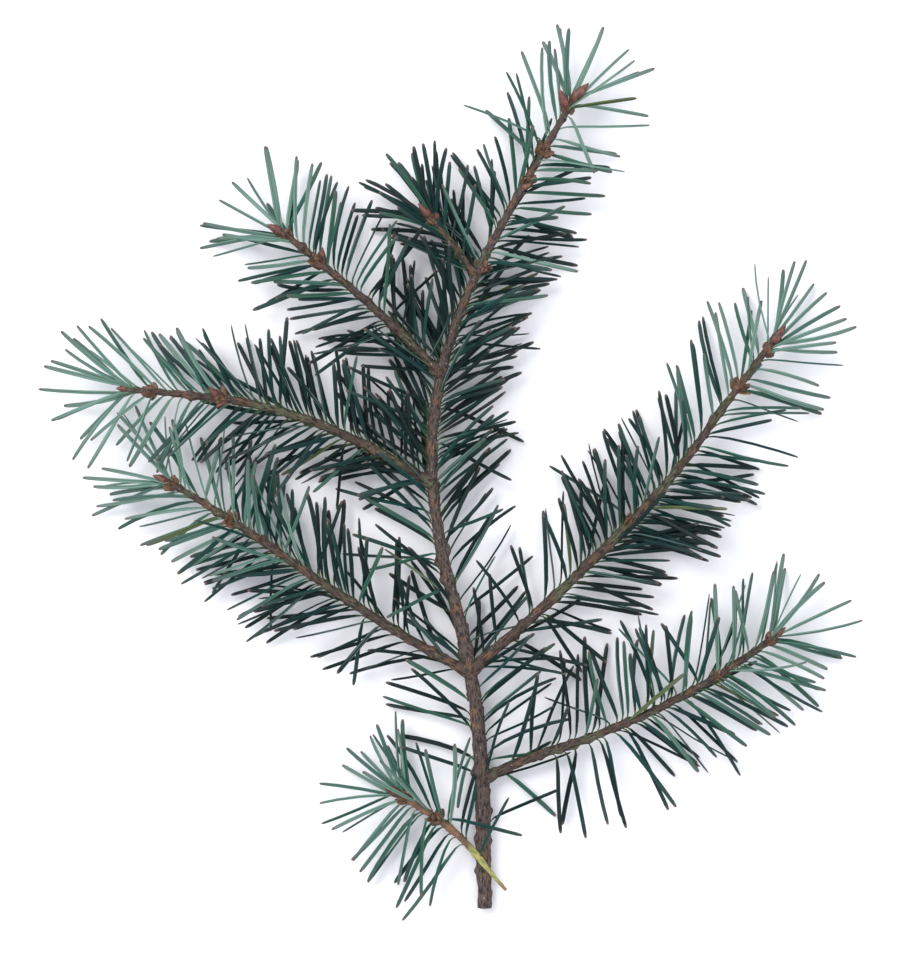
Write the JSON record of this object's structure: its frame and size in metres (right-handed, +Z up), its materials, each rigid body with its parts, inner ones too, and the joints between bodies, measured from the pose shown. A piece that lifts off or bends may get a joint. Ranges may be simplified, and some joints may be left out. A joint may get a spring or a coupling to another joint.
{
  "type": "cut douglas fir branch",
  "caption": "Flat spray of a needle-leaved evergreen as cut, lying on a surface: a woody stem with side twigs, all set with flat green needles in two ranks.",
  "frame": {"origin": "on the surface that the branch lies on, under the middle of its outline", "axes": "+Y from the cut end of the stem towards its tip, +X to the right seen from above with the tip away, +Z up"},
  "size_m": [0.2276, 0.251, 0.0235],
  "materials": {
    "stem_bark": "rough grey-brown bark with orange-brown patches",
    "twig_bark": "thin brown bark with leaf scars and small pegs",
    "torn_wood": "yellow-green peeled wood, torn at its foot",
    "needles": "slightly waxy green leaf surface"
  },
  "bodies": {
    "root": {"stem": "stem_bark", "twig_lower_right": "twig_bark", "twig_upper_right": "twig_bark", "twig_lower_left": "twig_bark", "twig_middle_left": "twig_bark", "twig_upper_left": "twig_bark", "twig_crown_left": "twig_bark", "sprig_stalk": "torn_wood", "needles_stem_low": "needles", "needles_stem_fork": "needles", "needles_stem_waist": "needles", "needles_stem_middle": "needles", "needles_stem_upper": "needles", "needles_stem_crown": "needles", "needles_stem_tip": "needles", "needles_lower_right_inner": "needles", "needles_lower_right_outer": "needles", "needles_upper_right_inner": "needles", "needles_upper_right_outer": "needles", "needles_lower_left_inner": "needles", "needles_lower_left_outer": "needles", "needles_middle_left_inner": "needles", "needles_middle_left_outer": "needles", "needles_upper_left": "needles", "needles_crown_left": "needles", "needles_sprig": "needles"}
  },
  "joints": []
}
